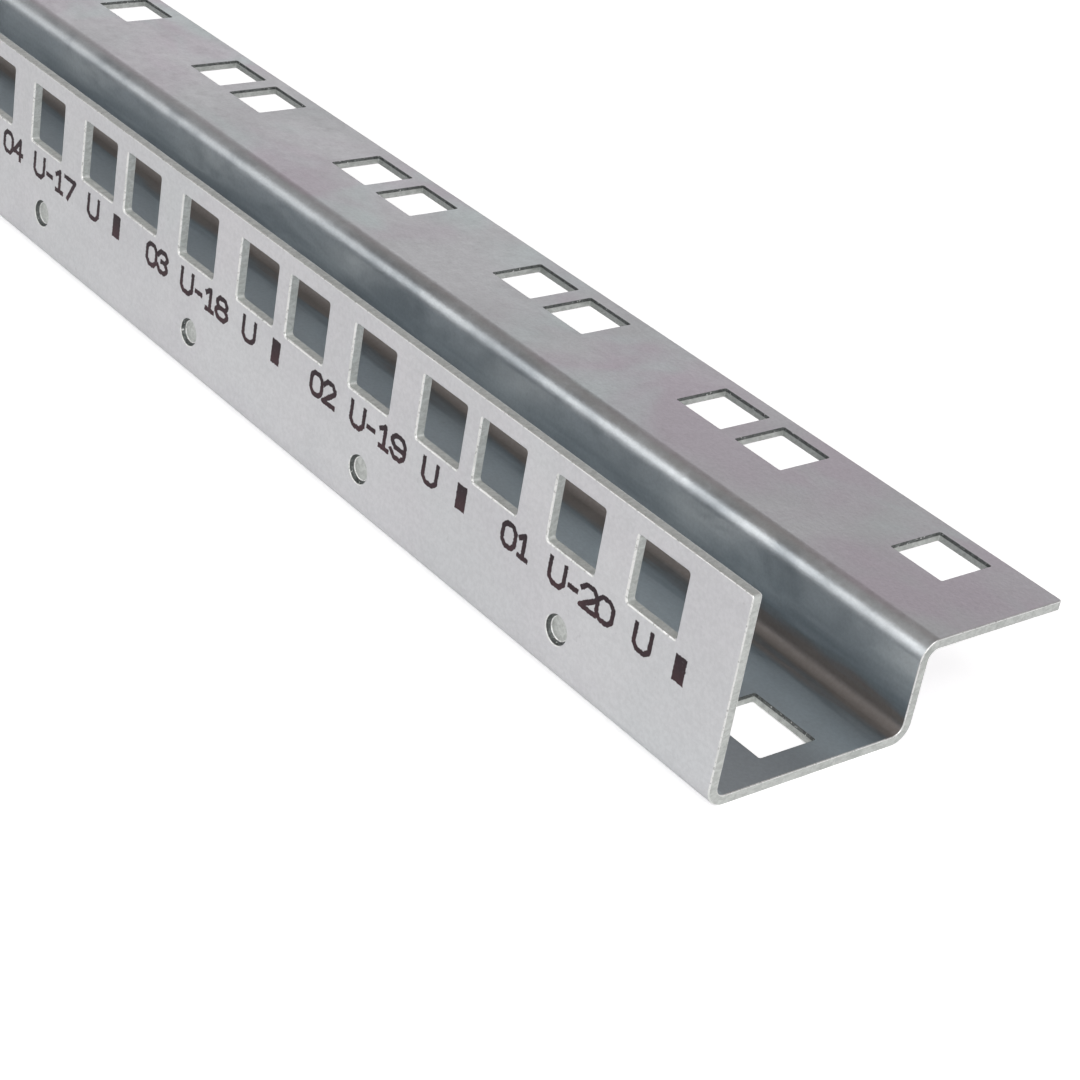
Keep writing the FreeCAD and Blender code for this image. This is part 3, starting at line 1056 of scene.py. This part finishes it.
def floor_material(studio):
    """Pale floor, lifted to white where the camera or the metal sees it."""
    material = bpy.data.materials.new("pale_floor")
    nodes = Nodes(material)
    path = nodes.add("LightPath")
    seen = path.outputs["Is Camera Ray"]
    mirrored = nodes.total(
        path.outputs["Is Glossy Ray"], path.outputs["Is Transmission Ray"]
    )
    lift = nodes.total(
        nodes.product(seen, FLOOR_SEEN), nodes.product(mirrored, FLOOR_MIRRORED)
    )
    grain = nodes.noise(nodes.place(), 60.0, 2.0)
    tone = nodes.mix(grain, rgba(studio.floor), rgba(studio.floor, 0.985))
    matte = nodes.add("BsdfDiffuse", Color=tone)
    glow = nodes.add("Emission", Color=(1, 1, 1, 1), Strength=lift)
    both = nodes.add("AddShader")
    nodes.plug(both.inputs[0], matte.outputs[0])
    nodes.plug(both.inputs[1], glow.outputs[0])
    nodes.close(both.outputs[0])
    return material


def studio_world(studio):
    """A white horizon that dims upward, sooner behind the rail than in front of
    it, to a brown ceiling, with a soft white box at the front left and a grey
    flag beside it. The camera sees it white all over."""
    world = bpy.data.worlds.new("studio")
    bpy.context.scene.world = world
    nodes = Nodes(world)
    way = nodes.add("TexCoord").outputs["Generated"]
    part = nodes.add("SeparateXYZ", Vector=way).outputs
    white = (1.0, 1.0, 1.0)
    front = (
        (0.0, white), (0.38, white), (0.66, studio.wall), (0.8, studio.ceiling),
        (1.0, studio.wall),
    )
    behind = (
        (0.0, white), (0.2, studio.sweep), (0.42, studio.haze), (0.53, studio.shade),
        (0.77, studio.ceiling), (1.0, studio.wall),
    )
    tones = []
    for bands in (front, behind):
        ramp = nodes.add("ValToRGB", Fac=part["Z"])
        stops = ramp.color_ramp.elements
        ramp.color_ramp.interpolation = "EASE"
        while len(stops) < len(bands):
            stops.new(0.5)
        for stop, (height, tone) in zip(stops, bands):
            stop.position = height
            stop.color = rgba(tone)
        tones.append(ramp.outputs[0])
    tone = nodes.mix(nodes.spread(part["Y"], -0.72, -0.52, 0.0, 1.0), *tones)
    box = nodes.lobe(way, studio.softbox, 19, 7, 0.0, studio.softbox_light)
    tone = nodes.mix(1.0, tone, box, "ADD")
    flag = nodes.lobe(way, studio.flag, 24, 11, 1.0, 0.5)
    tone = nodes.mix(1.0, tone, flag, "MULTIPLY")
    seen = nodes.add("LightPath").outputs["Is Camera Ray"]
    tone = nodes.mix(seen, tone, rgba(white))
    shader = nodes.add("Background", Color=tone, Strength=1.0)
    nodes.close(shader.outputs[0], "OutputWorld")


# Place, target, side and watts of each lamp.
LAMPS = {
    "overhead": ((1.2, -0.2, 1.5), (0.2, 0.0, 0.0), 1.6, 13.5),
    "right": ((1.9, -0.9, 0.9), (0.3, 0.0, 0.0), 0.8, 6.0),
}
FLOOR_REACH = 6.0


def area_lamp(name, place, target, side, watts):
    """A square lamp that faces its target."""
    light = bpy.data.lights.new(name, "AREA")
    light.shape = "RECTANGLE"
    light.size = light.size_y = side
    light.energy = watts
    lamp = stand(name, light)
    lamp.location = place
    way = Vector(target) - Vector(place)
    lamp.rotation_euler = way.to_track_quat("-Z", "Y").to_euler()


class RACKRAIL_OT_fold_sheet(bpy.types.Operator):
    """Fold the punched sheet and plate it"""

    bl_idname = "rack_rail.fold_sheet"
    bl_label = "Fold the Sheet"

    def execute(self, context):
        scene = context.scene
        mesh = fold_sheet(scene.rail_sheet, scene.rail_holes)
        finish = scene.rail_finish
        finishes = (
            zinc_plated_steel(finish, scene.rail_sheet), sheared_steel(finish),
            burnished_lip(finish), torn_steel_painted_shade(finish),
        )
        piece = mesh.piece("folded_sheet", finishes)
        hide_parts("rack_rail")
        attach(piece, "root")
        return {"FINISHED"}


class RACKRAIL_OT_print_scale(bpy.types.Operator):
    """Print the unit numbers under the front row of holes"""

    bl_idname = "rack_rail.print_scale"
    bl_label = "Print the Unit Scale"

    def execute(self, context):
        scene = context.scene
        ink = printing_ink(scene.rail_finish, scene.unit_scale)
        piece = print_scale(scene.rail_sheet, scene.unit_scale, scene.rail_holes, ink)
        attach(piece, "root")
        return {"FINISHED"}


class RACKRAIL_OT_set_studio(bpy.types.Operator):
    """Set the camera, the pale floor and the soft light"""

    bl_idname = "rack_rail.set_studio"
    bl_label = "Set the Studio"

    def execute(self, context):
        scene = context.scene
        studio = scene.studio
        scene.view_settings.view_transform = "Standard"

        camera = bpy.data.cameras.new("camera")
        camera.sensor_width = 36.0
        camera.lens = studio.lens
        camera.clip_start = 0.01
        camera.clip_end = 50.0
        eye = stand("camera", camera)
        eye.location = studio.eye
        eye.rotation_euler = studio.aim
        scene.camera = eye

        ways = ((-1, -1), (1, -1), (1, 1), (-1, 1))
        corners = [(x * FLOOR_REACH, y * FLOOR_REACH, 0.0) for x, y in ways]
        surface = [floor_material(studio)]
        floor = new_piece("floor", corners, [(0, 1, 2, 3)], surface)

        studio_world(studio)
        for name, setting in LAMPS.items():
            area_lamp(name, *setting)
        return {"FINISHED"}


class RACKRAIL_PT_panel(bpy.types.Panel):
    """The sizes and finishes of the rail, and the steps that make it"""

    bl_label = "Rack Rail"
    bl_idname = "RACKRAIL_PT_panel"
    bl_space_type = "VIEW_3D"
    bl_region_type = "UI"
    bl_category = "Rack Rail"

    def draw(self, context):
        for operator in OPERATORS:
            self.layout.operator(operator.bl_idname)
        for name, group in GROUPS.items():
            column = self.layout.column()
            for field in group.__annotations__:
                column.prop(getattr(context.scene, name), field)


OPERATORS = (RACKRAIL_OT_fold_sheet, RACKRAIL_OT_print_scale, RACKRAIL_OT_set_studio)
CLASSES = (*GROUPS.values(), *OPERATORS, RACKRAIL_PT_panel)


def register():
    for kind in CLASSES:
        bpy.utils.register_class(kind)
    for name, group in GROUPS.items():
        setattr(bpy.types.Scene, name, bpy.props.PointerProperty(type=group))


def unregister():
    for name in GROUPS:
        delattr(bpy.types.Scene, name)
    for kind in reversed(CLASSES):
        bpy.utils.unregister_class(kind)


def main():
    register()
    bpy.ops.rack_rail.fold_sheet()
    bpy.ops.rack_rail.print_scale()
    bpy.ops.rack_rail.set_studio()


if __name__ == "__main__":
    main()
